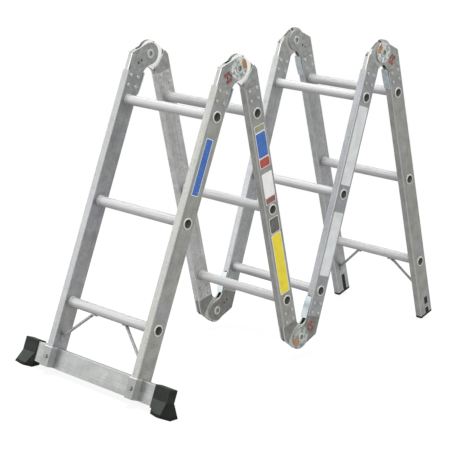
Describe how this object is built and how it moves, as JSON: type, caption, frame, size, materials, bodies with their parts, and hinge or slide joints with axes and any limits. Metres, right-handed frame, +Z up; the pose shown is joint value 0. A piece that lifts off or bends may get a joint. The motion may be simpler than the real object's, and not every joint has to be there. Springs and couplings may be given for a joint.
{
  "type": "adjustable ladder",
  "caption": "Folding aluminium ladder whose hinged sections lock at set angles, with round rungs, release levers, a wide stabiliser bar and rubber feet.",
  "frame": {"origin": "on the ground, under the middle of the standing ladder's box", "axes": "X along the rungs, Y from the front stabiliser feet to the rear feet, Z up"},
  "size_m": [0.604, 1.2848, 0.8787],
  "materials": {
    "stile_aluminium": "brushed mill finish",
    "rung_aluminium": "bright extruded",
    "hinge_steel": "zinc plated pressing",
    "zinc_fasteners": "bright zinc",
    "lever_steel": "grey coated sheet",
    "lock_steel": "bare steel",
    "black_rubber": "moulded rubber"
  },
  "bodies": {
    "front_section": {"front_stile_left": "stile_aluminium", "front_stile_right": "stile_aluminium", "front_rung_lower": "rung_aluminium", "front_rung_middle": "rung_aluminium", "front_rung_upper": "rung_aluminium", "front_fasteners": "zinc_fasteners", "front_top_hinge_cheek_left": "hinge_steel", "front_top_hinge_cheek_right": "hinge_steel", "front_top_hinge_pivots": "zinc_fasteners", "front_top_lever_springs": "zinc_fasteners", "front_braces": "rung_aluminium", "stabiliser_bar": "stile_aluminium", "stabiliser_saddles": "stile_aluminium", "stabiliser_feet": "black_rubber"},
    "second_section": {"second_stile_left": "stile_aluminium", "second_stile_right": "stile_aluminium", "second_rung_lower": "rung_aluminium", "second_rung_middle": "rung_aluminium", "second_rung_upper": "rung_aluminium", "second_fasteners": "zinc_fasteners", "front_top_hinge_tongue_left": "hinge_steel", "front_top_hinge_tongue_right": "hinge_steel", "bottom_hinge_tongue_left": "hinge_steel", "bottom_hinge_tongue_right": "hinge_steel"},
    "third_section": {"third_stile_left": "stile_aluminium", "third_stile_right": "stile_aluminium", "third_rung_lower": "rung_aluminium", "third_rung_middle": "rung_aluminium", "third_rung_upper": "rung_aluminium", "third_fasteners": "zinc_fasteners", "bottom_hinge_cheek_left": "hinge_steel", "bottom_hinge_cheek_right": "hinge_steel", "bottom_hinge_pivots": "zinc_fasteners", "bottom_lever_springs": "zinc_fasteners", "rear_top_hinge_tongue_left": "hinge_steel", "rear_top_hinge_tongue_right": "hinge_steel"},
    "rear_section": {"rear_stile_left": "stile_aluminium", "rear_stile_right": "stile_aluminium", "rear_rung_lower": "rung_aluminium", "rear_rung_middle": "rung_aluminium", "rear_rung_upper": "rung_aluminium", "rear_fasteners": "zinc_fasteners", "rear_top_hinge_cheek_left": "hinge_steel", "rear_top_hinge_cheek_right": "hinge_steel", "rear_top_hinge_pivots": "zinc_fasteners", "rear_top_lever_springs": "zinc_fasteners", "rear_braces": "rung_aluminium", "rear_feet": "black_rubber"},
    "front_top_lock_left": {"front_top_lock_bar_left": "lock_steel"},
    "front_top_lever_left": {"front_top_release_lever_left": "lever_steel"},
    "front_top_lock_right": {"front_top_lock_bar_right": "lock_steel"},
    "front_top_lever_right": {"front_top_release_lever_right": "lever_steel"},
    "bottom_lock_left": {"bottom_lock_bar_left": "lock_steel"},
    "bottom_lever_left": {"bottom_release_lever_left": "lever_steel"},
    "bottom_lock_right": {"bottom_lock_bar_right": "lock_steel"},
    "bottom_lever_right": {"bottom_release_lever_right": "lever_steel"},
    "rear_top_lock_left": {"rear_top_lock_bar_left": "lock_steel"},
    "rear_top_lever_left": {"rear_top_release_lever_left": "lever_steel"},
    "rear_top_lock_right": {"rear_top_lock_bar_right": "lock_steel"},
    "rear_top_lever_right": {"rear_top_release_lever_right": "lever_steel"}
  },
  "joints": [
    {"name": "front_top_fold", "type": "hinge", "parent": "front_section", "child": "second_section", "pos_m": [0, -0.29445, 0.8363], "axis": [1, 0, 0], "range_deg": [-35.7, 144.3]},
    {"name": "bottom_fold", "type": "hinge", "parent": "second_section", "child": "third_section", "pos_m": [0, 0.01429, 0.05723], "axis": [-1, 0, 0], "range_deg": [-32.4, 147.6]},
    {"name": "rear_top_fold", "type": "hinge", "parent": "third_section", "child": "rear_section", "pos_m": [0, 0.3078, 0.84216], "axis": [1, 0, 0], "range_deg": [-33.7, 146.3]},
    {"name": "front_top_lever_left", "type": "hinge", "parent": "front_section", "child": "front_top_lever_left", "pos_m": [-0.164, -0.3431, 0.73458], "axis": [1, 0, 0], "range_deg": [-3.76, 2.22], "stiffness_Nm_per_rad": 5},
    {"name": "front_top_lock_left", "type": "slide", "parent": "front_section", "child": "front_top_lock_left", "axis": [0, -0.8825, -0.4704], "range_m": [-0.0044, 0.0026]},
    {"name": "front_top_lever_right", "type": "hinge", "parent": "front_section", "child": "front_top_lever_right", "pos_m": [0.164, -0.3431, 0.73458], "axis": [1, 0, 0], "range_deg": [-3.76, 2.22], "stiffness_Nm_per_rad": 5},
    {"name": "front_top_lock_right", "type": "slide", "parent": "front_section", "child": "front_top_lock_right", "axis": [0, -0.8825, -0.4704], "range_m": [-0.0044, 0.0026]},
    {"name": "bottom_lever_left", "type": "hinge", "parent": "third_section", "child": "bottom_lever_left", "pos_m": [-0.164, 0.05701, 0.16158], "axis": [1, 0, 0], "range_deg": [-3.76, 2.22], "stiffness_Nm_per_rad": 5},
    {"name": "bottom_lock_left", "type": "slide", "parent": "third_section", "child": "bottom_lock_left", "axis": [0, 0.8539, 0.5204], "range_m": [-0.0044, 0.0026]},
    {"name": "bottom_lever_right", "type": "hinge", "parent": "third_section", "child": "bottom_lever_right", "pos_m": [0.164, 0.05701, 0.16158], "axis": [1, 0, 0], "range_deg": [-3.76, 2.22], "stiffness_Nm_per_rad": 5},
    {"name": "bottom_lock_right", "type": "slide", "parent": "third_section", "child": "bottom_lock_right", "axis": [0, 0.8539, 0.5204], "range_m": [-0.0044, 0.0026]},
    {"name": "rear_top_lever_left", "type": "hinge", "parent": "rear_section", "child": "rear_top_lever_left", "pos_m": [-0.164, 0.35488, 0.73971], "axis": [-1, 0, 0], "range_deg": [-3.76, 2.22], "stiffness_Nm_per_rad": 5},
    {"name": "rear_top_lock_left", "type": "slide", "parent": "rear_section", "child": "rear_top_lock_left", "axis": [0, 0.8751, -0.4839], "range_m": [-0.0044, 0.0026]},
    {"name": "rear_top_lever_right", "type": "hinge", "parent": "rear_section", "child": "rear_top_lever_right", "pos_m": [0.164, 0.35488, 0.73971], "axis": [-1, 0, 0], "range_deg": [-3.76, 2.22], "stiffness_Nm_per_rad": 5},
    {"name": "rear_top_lock_right", "type": "slide", "parent": "rear_section", "child": "rear_top_lock_right", "axis": [0, 0.8751, -0.4839], "range_m": [-0.0044, 0.0026]}
  ],
  "couplings": [
    {"joint": "front_top_lock_left", "follows": "front_top_lever_left", "m_per_rad": 0.066876},
    {"joint": "front_top_lock_right", "follows": "front_top_lever_right", "m_per_rad": 0.066876},
    {"joint": "bottom_lock_left", "follows": "bottom_lever_left", "m_per_rad": 0.066876},
    {"joint": "bottom_lock_right", "follows": "bottom_lever_right", "m_per_rad": 0.066876},
    {"joint": "rear_top_lock_left", "follows": "rear_top_lever_left", "m_per_rad": 0.066876},
    {"joint": "rear_top_lock_right", "follows": "rear_top_lever_right", "m_per_rad": 0.066876}
  ]
}
